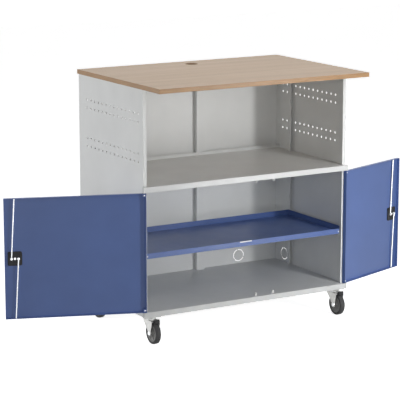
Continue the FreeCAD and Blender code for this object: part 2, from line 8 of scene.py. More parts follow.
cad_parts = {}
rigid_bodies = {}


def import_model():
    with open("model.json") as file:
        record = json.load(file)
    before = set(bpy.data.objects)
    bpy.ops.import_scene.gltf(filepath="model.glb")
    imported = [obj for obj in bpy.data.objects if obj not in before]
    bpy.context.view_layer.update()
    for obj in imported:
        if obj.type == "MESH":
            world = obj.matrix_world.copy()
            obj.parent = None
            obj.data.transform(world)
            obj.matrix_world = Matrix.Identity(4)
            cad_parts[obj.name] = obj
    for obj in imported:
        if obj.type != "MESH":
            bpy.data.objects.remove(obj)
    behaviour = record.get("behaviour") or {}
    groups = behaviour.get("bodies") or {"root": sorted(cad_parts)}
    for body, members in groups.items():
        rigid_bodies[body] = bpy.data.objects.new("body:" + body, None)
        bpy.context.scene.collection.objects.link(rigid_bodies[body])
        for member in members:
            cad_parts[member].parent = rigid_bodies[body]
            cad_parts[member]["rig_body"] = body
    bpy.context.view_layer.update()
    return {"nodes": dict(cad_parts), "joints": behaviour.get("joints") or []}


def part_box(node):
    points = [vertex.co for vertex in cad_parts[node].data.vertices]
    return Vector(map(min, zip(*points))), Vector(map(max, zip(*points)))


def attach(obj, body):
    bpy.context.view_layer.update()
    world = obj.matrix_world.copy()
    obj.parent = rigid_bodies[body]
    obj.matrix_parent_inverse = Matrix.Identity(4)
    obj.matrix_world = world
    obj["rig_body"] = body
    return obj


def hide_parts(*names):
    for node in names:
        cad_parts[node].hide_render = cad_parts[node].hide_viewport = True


# A mobile workshop cupboard bench, in metres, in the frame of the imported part: +X to the right
# along the front, +Y from the front to the back, +Z up, with the floor at Z = 0.

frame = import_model()
NODES = frame["nodes"]
JOINTS = {joint["name"]: joint for joint in frame["joints"]}
MM = 0.001

SIDE_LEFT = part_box("side_left")
SIDE_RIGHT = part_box("side_right")
FRONT = SIDE_LEFT[0].y
LEFT = SIDE_LEFT[0].x
RIGHT = SIDE_RIGHT[1].x
CORNERS = ("front_left", "front_right", "rear_left", "rear_right")
HANDS = ("left", "right")

SHEET_FACE = -8.3 * MM      # the inside face of a door's sheet, from its lock's joint
STEM_BACK = 24 * MM         # from the rear end of a fork forward to its king pin
CROWN = 107 * MM            # the top of a fork
PLATE_LOW = 117 * MM        # the underside of the castor plates


# ---------------------------------------------------------------- material helpers

class Nodes:
    """A material's node tree with short ways to add and join nodes."""

    def __init__(self, name):
        self.material = bpy.data.materials.new(name)
        self.material.use_nodes = True
        self.tree = self.material.node_tree
        self.shader = self.tree.nodes["Principled BSDF"]
        self.place = self.tree.nodes.new("ShaderNodeTexCoord").outputs["Object"]

    def add(self, kind, **values):
        """A node with its properties and its input values set by name."""
        node = self.tree.nodes.new(kind)
        for name, value in values.items():
            if hasattr(node, name):
                setattr(node, name, value)
            else:
                node.inputs[name.replace("_", " ")].default_value = value
        return node

    def join(self, output, target):
        self.tree.links.new(output, target)

    def stretched(self, stretch):
        """The object's own coordinates, scaled along each axis."""
        mapping = self.add("ShaderNodeMapping")
        mapping.inputs["Scale"].default_value = stretch
        self.join(self.place, mapping.inputs["Vector"])
        return mapping.outputs["Vector"]

    def noise(self, scale, detail=2.0, rough=0.5, stretch=(1, 1, 1), distort=0.0):
        """A noise pattern's strength; scale is in waves per metre."""
        node = self.add("ShaderNodeTexNoise", Scale=scale, Detail=detail, Roughness=rough,
                        Distortion=distort)
        self.join(self.stretched(stretch), node.inputs["Vector"])
        return node.outputs["Fac"]

    def ramp(self, factor, stops):
        """Colours or greys along a factor; stops are (place, colour)."""
        node = self.add("ShaderNodeValToRGB")
        band = node.color_ramp
        while len(band.elements) < len(stops):
            band.elements.new(0.5)
        for element, (where, colour) in zip(band.elements, stops):
            element.position = where
            element.color = (*colour, 1.0)
        self.join(factor, node.inputs["Fac"])
        return node.outputs["Color"]

    def spread(self, factor, low, high, start=0.3, end=0.7):
        """A factor mapped to a range of values."""
        node = self.add("ShaderNodeMapRange")
        for name, value in (("From Min", start), ("From Max", end), ("To Min", low),
                            ("To Max", high)):
            node.inputs[name].default_value = value
        self.join(factor, node.inputs["Value"])
        return node.outputs["Result"]

    def mixed(self, factor, first, second, blend="MIX"):
        """Two colours mixed by a factor or a number."""
        node = self.add("ShaderNodeMix", data_type="RGBA", blend_type=blend)
        for value, target in ((factor, node.inputs["Factor"]), (first, node.inputs["A"]),
                              (second, node.inputs["B"])):
            sockets = [s for s in node.inputs if s.name == target.name and s.enabled]
            if isinstance(value, bpy.types.NodeSocket):
                self.join(value, sockets[0])
            else:
                sockets[0].default_value = value
        return [s for s in node.outputs if s.enabled][0]

    def bump(self, height, distance, strength):
        """Relief on the surface; distance is in metres."""
        node = self.add("ShaderNodeBump", Strength=strength, Distance=distance)
        self.join(height, node.inputs["Height"])
        self.join(node.outputs["Normal"], self.shader.inputs["Normal"])

    def surface(self, **values):
        """Values set straight on the shader's own sockets."""
        for name, value in values.items():
            self.shader.inputs[name.replace("_", " ")].default_value = value

    def colour(self, output):
        self.join(output, self.shader.inputs["Base Color"])

    def roughness(self, output):
        self.join(output, self.shader.inputs["Roughness"])


def shade(colour, amount):
    """A colour made lighter or darker by a factor."""
    return tuple(min(1.0, channel * amount) for channel in colour)


def powder_coat(name, colour, gloss, variation=0.03):
    """Baked powder paint: faint clouding, orange-peel relief and handling haze."""
    coat = Nodes(name)
    clouds = coat.noise(7.0, detail=3.0)
    speck = coat.noise(900.0, detail=1.0)
    base = coat.ramp(clouds, [(0.3, shade(colour, 1 - variation)),
                              (0.7, shade(colour, 1 + variation))])
    grain = coat.ramp(speck, [(0.3, (0.95, 0.95, 0.95)), (0.7, (1.0, 1.0, 1.0))])
    coat.colour(coat.mixed(0.5, base, grain, "MULTIPLY"))
    coat.roughness(coat.spread(coat.noise(9.0, detail=2.0), gloss - 0.02, gloss + 0.04))
    coat.bump(coat.noise(330.0, detail=1.0), 0.00005, 0.5)
    coat.surface(Specular_IOR_Level=0.36)
    return coat.material


def laminate(name, pale, dark, gloss=0.5):
    """Beech-pattern worktop: long grain along X, cathedral bands and short dark flecks."""
    wood = Nodes(name)
    bands = wood.noise(3.2, detail=5.0, rough=0.55, stretch=(0.22, 4.5, 1.0), distort=0.6)
    grain = wood.noise(60.0, detail=6.0, rough=0.65, stretch=(0.06, 5.0, 1.0))
    flecks = wood.noise(230.0, detail=2.0, stretch=(0.09, 2.6, 1.0))
    tone = wood.ramp(bands, [(0.32, pale), (0.55, shade(dark, 1.12)), (0.72, dark)])
    fine = wood.ramp(grain, [(0.35, (0.84, 0.82, 0.8)), (0.62, (1.04, 1.03, 1.02))])
    spots = wood.ramp(flecks, [(0.28, (0.62, 0.52, 0.44)), (0.37, (1.0, 1.0, 1.0))])
    layered = wood.mixed(0.75, tone, fine, "MULTIPLY")
    wood.colour(wood.mixed(0.55, layered, spots, "MULTIPLY"))
    wood.roughness(wood.spread(grain, gloss - 0.05, gloss + 0.1))
    wood.bump(grain, 0.00008, 0.5)
    wood.surface(Specular_IOR_Level=0.16)
    return wood.material


def edge_band(name, colour):
    """The glued edge strip: a golden brown with fine grain along its length."""
    strip = Nodes(name)
    grain = strip.noise(70.0, detail=5.0, rough=0.6, stretch=(0.12, 0.12, 6.0))
    tone = strip.ramp(grain, [(0.3, shade(colour, 0.72)), (0.7, shade(colour, 1.2))])
    patches = strip.ramp(strip.noise(9.0), [(0.35, (0.9, 0.88, 0.85)), (0.65, (1, 1, 1))])
    strip.colour(strip.mixed(0.8, tone, patches, "MULTIPLY"))
    strip.roughness(strip.spread(grain, 0.34, 0.5))
    strip.bump(grain, 0.0001, 0.4)
    return strip.material


def metal(name, colour, gloss=0.3):
    """Bright zinc plate: a metal with a cloudy passivated film and fine drawing lines."""
    plate = Nodes(name)
    film = plate.noise(38.0, detail=4.0, rough=0.6)
    lines = plate.noise(900.0, detail=2.0)
    plate.colour(plate.ramp(film, [(0.3, shade(colour, 0.88)), (0.7, shade(colour, 1.06))]))
    plate.roughness(plate.spread(plate.noise(120.0, detail=3.0), gloss - 0.06, gloss + 0.12))
    plate.bump(lines, 0.00004, 0.5)
    plate.surface(Metallic=1.0)
    return plate.material


def moulded(name, colour, gloss=0.45, variation=0.12):
    """Moulded plastic with a spark-eroded texture."""
    plastic = Nodes(name)
    cells = plastic.noise(700.0, detail=3.0)
    tint = plastic.noise(30.0, detail=2.0)
    plastic.colour(plastic.ramp(tint, [(0.3, shade(colour, 1 - variation)),
                                       (0.7, shade(colour, 1 + variation))]))
    plastic.roughness(plastic.spread(cells, gloss - 0.07, gloss + 0.1))
    plastic.bump(cells, 0.00008, 0.6)
    plastic.surface(Specular_IOR_Level=0.22)
    return plastic.material


def rubber(name, colour):
    """Grey-black tyre rubber, dull, with a dusting on its tread."""
    tyre = Nodes(name)
    dust = tyre.noise(45.0, detail=5.0, rough=0.7)
    pores = tyre.noise(900.0, detail=2.0)
    tyre.colour(tyre.ramp(dust, [(0.3, colour), (0.75, shade(colour, 1.7))]))
    tyre.roughness(tyre.spread(pores, 0.62, 0.85))
    tyre.bump(pores, 0.0001, 0.6)
    tyre.surface(Specular_IOR_Level=0.3)
    return tyre.material


GREY = powder_coat("body_grey_coat", (0.70, 0.71, 0.705), gloss=0.34)
# a darker copy of the body paint: painted shade on the front rails and the base deck
SHADED_BODY_GREY = powder_coat("body_grey_coat_painted_shade", (0.60, 0.61, 0.605), gloss=0.34)
BLUE = powder_coat("door_blue_coat", (0.075, 0.128, 0.325), gloss=0.3, variation=0.05)
BEECH = laminate("beech_laminate", (0.58, 0.455, 0.35), (0.49, 0.375, 0.275))
GOLD_EDGE = edge_band("golden_edging", (0.33, 0.185, 0.075))
CORE = edge_band("chipboard_core", (0.26, 0.155, 0.075))
ZINC = metal("bright_zinc", (0.80, 0.81, 0.82))
STAMPED = metal("stamped_zinc", (0.50, 0.50, 0.485), gloss=0.36)
BLACK = moulded("black_plastic", (0.012, 0.012, 0.013))
NYLON = moulded("white_nylon", (0.82, 0.82, 0.80), gloss=0.4, variation=0.04)
HUB = moulded("hub_plastic", (0.27, 0.27, 0.265), gloss=0.5, variation=0.08)
TYRE = rubber("tyre_rubber", (0.035, 0.035, 0.036))
# white for the keeper sleeves, also used for the painted highlight strip on the shelf lip
HIGHLIGHT_AND_SLEEVE_WHITE = moulded("highlight_and_sleeve_white", (0.85, 0.85, 0.83), gloss=0.6, variation=0.03)


# ---------------------------------------------------------------- mesh helpers

def placed(piece, body, material, stands_for=()):
    """Give a piece its material and its body, and hide the nodes that it stands for."""
    piece.data.materials.clear()
    piece.data.materials.append(material)
    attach(piece, body)
    if stands_for:
        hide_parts(*stands_for)


def new_piece(name, mesh_maker, matrix=Matrix.Identity(4), smooth=35.0):
    """An object from a bmesh, with edges flatter than an angle shaded smooth."""
    mesh = bpy.data.meshes.new(name)
    bmesh.ops.recalc_face_normals(mesh_maker, faces=mesh_maker.faces)
    mesh_maker.to_mesh(mesh)
    mesh_maker.free()
    mesh.transform(matrix)
    piece = bpy.data.objects.new(name, mesh)
    bpy.context.scene.collection.objects.link(piece)
    shade_by_angle(piece, smooth)
    return piece


def shade_by_angle(piece, angle):
    """Smooth shading, kept sharp where two faces meet at more than an angle in degrees."""
    piece.data.shade_smooth()
    piece.data.set_sharp_from_angle(angle=math.radians(angle))


def settle(piece):
    """Apply a piece's modifiers to its mesh."""
    view = bpy.context.evaluated_depsgraph_get()
    mesh = bpy.data.meshes.new_from_object(piece.evaluated_get(view))
    piece.modifiers.clear()
    piece.data = mesh


def rounded(piece, width, segments=2, angle=35.0):
    """Round a piece's sharp edges."""
    bevel = piece.modifiers.new("round", "BEVEL")
    bevel.width = width
    bevel.segments = segments
    bevel.limit_method = "ANGLE"
    bevel.angle_limit = math.radians(angle)
    bevel.use_clamp_overlap = True
    bevel.harden_normals = True
    flat = piece.modifiers.new("flat", "WEIGHTED_NORMAL")
    flat.keep_sharp = True
    settle(piece)


def softened(node, material, width=0.0006, segments=2):
    """A CAD node's shape with its coplanar faces joined and its edges rounded."""
    source = NODES[node]
    shape = bmesh.new()
    shape.from_mesh(source.data)
    bmesh.ops.remove_doubles(shape, verts=shape.verts, dist=1e-6)
    bmesh.ops.dissolve_limit(shape, angle_limit=math.radians(0.5), verts=shape.verts,
                             edges=shape.edges)
    piece = new_piece(f"{node}_finished", shape)
    if width:
        rounded(piece, width, segments)
    placed(piece, source["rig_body"], material, [node])


def lathe(shape, profile, count=64, closed=True):
    """Add (along, radius) points spun round the X axis; an open profile gets end faces."""
    rings = []
    for turn in range(count):
        angle = 2 * math.pi * turn / count
        rings.append([shape.verts.new((along, radius * math.cos(angle),
                                       radius * math.sin(angle)))
                      for along, radius in profile])
    steps = len(profile) if closed else len(profile) - 1
    for turn in range(count):
        here, there = rings[turn], rings[(turn + 1) % count]
        for step in range(steps):
            after = (step + 1) % len(profile)
            shape.faces.new((here[step], here[after], there[after], there[step]))
    if not closed:
        for end in (0, -1):
            shape.faces.new([ring[end] for ring in rings])


def prism(shape, outline, low, high, axis="x"):
    """A straight prism: an outline of two coordinates, between two levels on an axis."""
    def point(across, up, level):
        corners = {"x": (level, across, up), "y": (across, level, up),
                   "z": (across, up, level)}
        return corners[axis]

    bottom = [shape.verts.new(point(a, b, low)) for a, b in outline]
    top = [shape.verts.new(point(a, b, high)) for a, b in outline]
    shape.faces.new(bottom)
    shape.faces.new(top)
    for index in range(len(outline)):
        after = (index + 1) % len(outline)
        shape.faces.new((bottom[index], bottom[after], top[after], top[index]))


def ring_points(count, radius):
    """Points evenly round a circle."""
    return [(radius * math.cos(2 * math.pi * i / count),
             radius * math.sin(2 * math.pi * i / count)) for i in range(count)]


def arc(centre, radius, first, last, count):
    """Points along an arc, between two angles in degrees."""
    angles = [math.radians(first + (last - first) * i / count) for i in range(count + 1)]
    return [(centre[0] + radius * math.cos(a), centre[1] + radius * math.sin(a))
            for a in angles]


def block(shape, low, high):
    """A six-sided solid between two corners."""
    prism(shape, [(low[1], low[2]), (high[1], low[2]), (high[1], high[2]), (low[1], high[2])],
          low[0], high[0])


def copy_into(target, source):
    """Add one bmesh's faces to another, and free it."""
    carrier = bpy.data.meshes.new("carrier")
    source.to_mesh(carrier)
    source.free()
    target.from_mesh(carrier)
    bpy.data.meshes.remove(carrier)


def hexagon(shape, radius, low, high):
    """A hexagon head on the X axis, with its far face chamfered to a circle."""
    rings = []
    for level, scale in ((low, 1.0), (low + (high - low) * 0.72, 1.0), (high, 0.86)):
        rings.append([shape.verts.new((level, a * scale, b * scale))
                      for a, b in ring_points(6, radius)])
    shape.faces.new(rings[0])
    shape.faces.new(rings[-1])
    for first, second in zip(rings, rings[1:]):
        for i in range(6):
            after = (i + 1) % 6
            shape.faces.new((first[i], first[after], second[after], second[i]))


def lathe_out(profile, count=48, at=(0, 0)):
    """A round part about an axis that runs to the door's inside."""
    shape = bmesh.new()
    lathe(shape, profile, count, closed=False)
    shape.transform(Matrix.Rotation(math.radians(90), 4, "Z"))
    shape.transform(Matrix.Translation((at[0], 0, at[1])))
    return shape


def middle(node):
    """The middle of a CAD node's box."""
    low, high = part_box(node)
    return (low + high) / 2


# ---------------------------------------------------------------- carcass

def carcass():
    """The carcass, worktop and shelf as drawn in the CAD, with their edges rounded."""
    for node in ("side_left", "side_right", "deck_middle", "back_left",
                 "back_right", "stile_lower", "stile_upper", "upright_lower_left",
                 "upright_lower_right", "upright_upper_left", "upright_upper_right",
                 "base_channels", "top_rail_front", "top_rail_rear", "shelf_clips"):
        softened(node, GREY, 0.0004)
    # front rails and base deck in the darker copy of the body paint, which paints shade on them
    for node in ("rail_base", "rail_middle", "deck_base"):
        softened(node, SHADED_BODY_GREY, 0.0007)
    softened("shelf_tray", BLUE, 0.0006)
    softened("worktop_board", BEECH, 0.0008)
    softened("worktop_edging", GOLD_EDGE, 0.0009)
    softened("hinge_bushes", NYLON, 0.0003)
    softened("rod_keepers", NYLON, 0.0011, 3)
    keeper_sleeves()


def keeper_sleeves():
    """White sleeves with a rounded end over the four rod keepers."""
    low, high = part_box("rod_keepers")
    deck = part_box("deck_base")[1].z
    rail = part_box("rail_middle")[0].z
    shape = bmesh.new()
    for x in (low.x + 3 * MM, high.x - 3 * MM):
        for level, turn in ((deck, -90), (rail, 90)):
            sleeve = bmesh.new()
            lathe(sleeve, [(0.1 * MM, 4.6 * MM), (1.2 * MM, 4.4 * MM), (12.4 * MM, 4.0 * MM),
                           (13.4 * MM, 3.2 * MM), (13.8 * MM, 1.4 * MM)], 28, closed=False)
            sleeve.transform(Matrix.Rotation(math.radians(turn), 4, "Y"))
            sleeve.transform(Matrix.Translation((x, (low.y + high.y) / 2, level)))
            copy_into(shape, sleeve)
    placed(new_piece("keeper_sleeves", shape), "cabinet", HIGHLIGHT_AND_SLEEVE_WHITE)


def knockouts():
    """Half-punched blanking discs: each hangs in its slit on three small tabs."""
    shape = bmesh.new()
    depth = 1.5 * MM
    radius = 26 * MM
    hole = 29.3 * MM
    up = 183 * MM
    aside = 212 * MM
    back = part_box("back_left")[0].y
    side_y = SIDE_LEFT[1].y - 103 * MM

    def disc(centre, along_x):
        """A disc and its tabs, standing square to Y, or to X on the sides."""
        part = bmesh.new()
        prism(part, ring_points(48, radius), 0, depth, "y")
        for turn in (20, 140, 260):
            spoke = bmesh.new()
            block(spoke, (radius - 1 * MM, 0, -2.5 * MM), (hole, depth, 2.5 * MM))
            spoke.transform(Matrix.Rotation(math.radians(turn), 4, "Y"))
            copy_into(part, spoke)
        if along_x:
            part.transform(Matrix.Rotation(math.radians(-90), 4, "Z"))
        part.transform(Matrix.Translation(centre))
        copy_into(shape, part)

    for x in (LEFT + aside, RIGHT - aside):
        disc((x, back, up), False)
    for x in (LEFT, RIGHT - depth):
        disc((x, side_y, up), True)
    piece = new_piece("knockout_plates", shape)
    placed(piece, "cabinet", GREY, ["knockout_discs"])


# ---------------------------------------------------------------- castors

def castor(corner):
    """One castor: stamped fork, moulded hub, tyre, king pin and axle bolt; the pedals of the
    front ones are made in pedals().
    """
    body = f"castor_{corner}"
    wheel = f"wheel_{corner}"
    axle = middle(f"tyre_{corner}")
    low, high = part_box(f"fork_{corner}")
    tyre_low, tyre_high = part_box(f"tyre_{corner}")
    radius = (tyre_high.z - tyre_low.z) / 2
    half = (tyre_high.x - tyre_low.x) / 2
    here = Matrix.Translation(axle)

    # tyre: CROWNed tread, rounded shoulders, a step to the sidewall and a bead ring
    rim = radius - 11 * MM
    tread = []
    for side in (1, -1):
        shoulder = [(half - 2.2 * MM, radius - 0.7 * MM), (half - 0.9 * MM, radius - 1.9 * MM),
                    (half - 0.2 * MM, radius - 3.8 * MM), (half, radius - 6.2 * MM),
                    (half - 0.5 * MM, radius - 6.8 * MM), (half - 0.5 * MM, radius - 8.4 * MM),
                    (half - 0.1 * MM, radius - 8.9 * MM), (half - 0.1 * MM, radius - 9.8 * MM),
                    (half - 0.9 * MM, rim)]
        points = [(0.35 * half, radius)] + shoulder
        if side == 1:
            tread += points
        else:
            tread += [(-along, out) for along, out in reversed(points)]
    shape = bmesh.new()
    lathe(shape, tread, 96)
    tyre = new_piece(f"tyre_ring_{corner}", shape, here, smooth=60)
    placed(tyre, wheel, TYRE, [f"tyre_{corner}"])

    # hub: rim, recessed web with six ribs, and a central boss
    shape = bmesh.new()
    rings = [5.1, 11, 13, 14.5, 16.5, 20, 25, 30, 32.5, 34, 35.5, 39]
    count = 120
    faces = []
    for side in (1, -1):
        grid = []
        for ring in rings:
            line = []
            for turn in range(count):
                angle = 2 * math.pi * turn / count
                line.append(shape.verts.new((side * hub_height(ring, angle) * MM,
                                             ring * MM * math.cos(angle),
                                             ring * MM * math.sin(angle))))
            grid.append(line)
        for i in range(len(rings) - 1):
            for turn in range(count):
                after = (turn + 1) % count
                shape.faces.new((grid[i][turn], grid[i + 1][turn], grid[i + 1][after],
                                 grid[i][after]))
        faces.append(grid)
    for ring in (0, -1):
        for turn in range(count):
            after = (turn + 1) % count
            shape.faces.new((faces[0][ring][turn], faces[0][ring][after],
                             faces[1][ring][after], faces[1][ring][turn]))
    hub = new_piece(f"hub_moulding_{corner}", shape, here, smooth=40)
    placed(hub, wheel, HUB, [f"hub_{corner}"])

    # fork: a folded sheet whose arms taper to a round end about the axle
    stem = middle(f"fork_{corner}")
    stem_y = high.y - STEM_BACK
    out = (high.x - low.x) / 2
    outline = ([(stem_y + 22 * MM, CROWN), (stem_y + 24 * MM, CROWN - 9 * MM)]
               + arc((axle.y, axle.z), 11 * MM, 22, -202, 12)
               + [(axle.y - 21.5 * MM, CROWN - 12 * MM), (axle.y - 21 * MM, CROWN - 2 * MM),
                  (axle.y - 12 * MM, CROWN)])
    shape = bmesh.new()
    arms = []
    for side in (-1, 1):
        arm = [shape.verts.new((stem.x + side * out, y, z)) for y, z in outline]
        shape.faces.new(arm)
        arms.append(arm)
    shape.faces.new((arms[0][0], arms[0][-1], arms[1][-1], arms[1][0]))
    fork = new_piece(f"fork_stamping_{corner}", shape)
    wall = fork.modifiers.new("wall", "SOLIDIFY")
    wall.thickness = 2.5 * MM
    wall.offset = -1.0
    wall.use_even_offset = True
    settle(fork)
    rounded(fork, 1.1 * MM, 3, 40)
    placed(fork, body, STAMPED, [f"fork_{corner}"])

    # king pin head and dust ring under the plate
    shape = bmesh.new()
    profile = [(0, 21.5 * MM), (1.4 * MM, 21.5 * MM), (2.2 * MM, 20 * MM), (2.6 * MM, 12 * MM),
               (2.4 * MM, 8 * MM), (12.2 * MM, 7.8 * MM)]
    lathe(shape, profile, 48, closed=False)
    turn = Matrix.Translation((stem.x, stem_y, CROWN)) @ Matrix.Rotation(
        math.radians(-90), 4, "Y")
    placed(new_piece(f"king_pin_{corner}", shape, turn), body, ZINC)

    # axle bolt: a washer and a hexagon at each end
    shape = bmesh.new()
    lathe(shape, [(-out, 4.9 * MM), (out, 4.9 * MM)], 32, closed=False)
    for side in (-1, 1):
        washer = [(side * out, 9.2 * MM), (side * (out + 1.1 * MM), 9.0 * MM),
                  (side * (out + 1.1 * MM), 3 * MM), (side * out, 3 * MM)]
        lathe(shape, washer, 40)
        cut = side * (out + 1.1 * MM)
        tip = side * (out + 4.0 * MM)
        hexagon(shape, 7.4 * MM, cut, tip)
    placed(new_piece(f"axle_bolt_{corner}", shape, here, smooth=25), body, ZINC,
           [f"axle_{corner}"])


def hub_height(ring, angle):
    """Half thickness of the hub in mm: boss, web with ribs, rim."""
    if ring <= 13:
        return 13.6 if ring < 12 else 13.2
    if ring >= 34:
        return 10.2 if ring > 37 else 10.8
    rib = abs(math.sin(3 * angle))
    web = 5.5
    if ring in (14.5, 32.5):
        web = 7.0
    on_rib = max(0.0, min(1.0, (0.30 - rib) / 0.12))
    return web + (9.8 - web) * on_rib


def pedals():
    """Brake pedals: a ribbed plate with a turned-down lip, and its pin."""
    for corner in CORNERS[:2]:
        node = f"pedal_{corner}"
        pivot = Vector(JOINTS[f"brake_{corner}_press"]["pos_m"])
        half = 12 * MM
        profile = [(3, 1.0), (1.5, -2.2), (-3, -2.6), (-6, 3), (-8, 7.2), (-14, 9.2),
                   (-15, 8.6), (-15.2, -5.4), (-16.6, -6), (-18, -5), (-18, 12.6),
                   (-17, 14.2), (-15, 14.2), (-6.5, 12), (-4, 8.5), (-2, 3.2)]
        shape = bmesh.new()
        prism(shape, [(y * MM, z * MM) for y, z in profile], -half, half)
        pedal = new_piece(f"brake_pedal_{corner}", shape, Matrix.Translation(pivot))
        rounded(pedal, 0.7 * MM, 2, 30)
        placed(pedal, f"brake_{corner}", BLACK, [node])
        shape = bmesh.new()
        for step in range(4):
            y = (-16.2 + 2.6 * step) * MM
            z = (14.3 - 0.62 * step) * MM
            block(shape, (-half + 2 * MM, y - 0.5 * MM, z - 1.2 * MM),
                  (half - 2 * MM, y + 0.5 * MM, z + 0.15 * MM))
        ribs = new_piece(f"pedal_ribs_{corner}", shape, Matrix.Translation(pivot))
        placed(ribs, f"brake_{corner}", BLACK)
        shape = bmesh.new()
        lathe(shape, [(-17.6 * MM, 2.0 * MM), (-17.2 * MM, 2.5 * MM), (17.2 * MM, 2.5 * MM),
                      (17.6 * MM, 2.0 * MM)], 24, closed=False)
        pin = new_piece(f"pedal_pin_{corner}", shape, Matrix.Translation(pivot))
        placed(pin, f"brake_{corner}", ZINC)


def plates():
    """Castor top plates with their bolts."""
    softened("castor_plates", STAMPED, 0.0008)
    shape = bmesh.new()
    for corner in CORNERS:
        low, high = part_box(f"fork_{corner}")
        x = (low.x + high.x) / 2
        y = high.y - STEM_BACK
        for dx in (-29, 29):
            for dy in (-26, 38):
                bolt = bmesh.new()
                hexagon(bolt, 6.3 * MM, 0, 2.2 * MM)
                bolt.transform(Matrix.Rotation(math.radians(90), 4, "Y"))
                bolt.transform(Matrix.Translation((x + dx * MM, y + dy * MM, PLATE_LOW)))
                copy_into(shape, bolt)
    placed(new_piece("castor_bolts", shape, smooth=25), "cabinet", ZINC)


# ---------------------------------------------------------------- doors

def door_frame(hand):
    """A matrix from door coordinates at the lock: x along the door, y to its inside, z up."""
    joint = JOINTS[f"{hand}_lock_turn"]
    outward = Vector(joint["axis"])
    inward = -outward
    along = inward.cross(Vector((0, 0, 1)))
    basis = Matrix((along, inward, Vector((0, 0, 1)))).transposed().to_4x4()
    return Matrix.Translation(Vector(joint["pos_m"])) @ basis


def lock_case(hand, body, place):
    """A square case with rounded corners and a chamfered rim round the cam's recess."""
    count = 64
    half, corner, bore = 30.9 * MM, 8 * MM, 22 * MM
    outer = []
    for quarter, (x, z) in enumerate(((1, 1), (-1, 1), (-1, -1), (1, -1))):
        centre = (x * (half - corner), z * (half - corner))
        outer += arc(centre, corner, 90 * quarter, 90 * quarter + 90, count // 4 - 1)
    levels = [(0, 1.0, None), (3.6 * MM, 1.0, None), (4.4 * MM, 0.975, None),
              (4.4 * MM, None, bore + 1.2 * MM), (3.6 * MM, None, bore), (1.6 * MM, None, bore)]
    shape = bmesh.new()
    rings = []
    for depth, scale, radius in levels:
        ring = []
        for x, z in outer:
            stretch = scale if radius is None else radius / math.hypot(x, z)
            ring.append(shape.verts.new((x * stretch, SHEET_FACE + depth, z * stretch)))
        rings.append(ring)
    for first, second in zip(rings, rings[1:]):
        for index in range(count):
            after = (index + 1) % count
            shape.faces.new((first[index], first[after], second[after], second[index]))
    shape.faces.new(rings[0])
    shape.faces.new(rings[-1])
    placed(new_piece(f"lock_cover_{hand}", shape, place), body, BLACK,
           [f"lock_case_{hand}"])


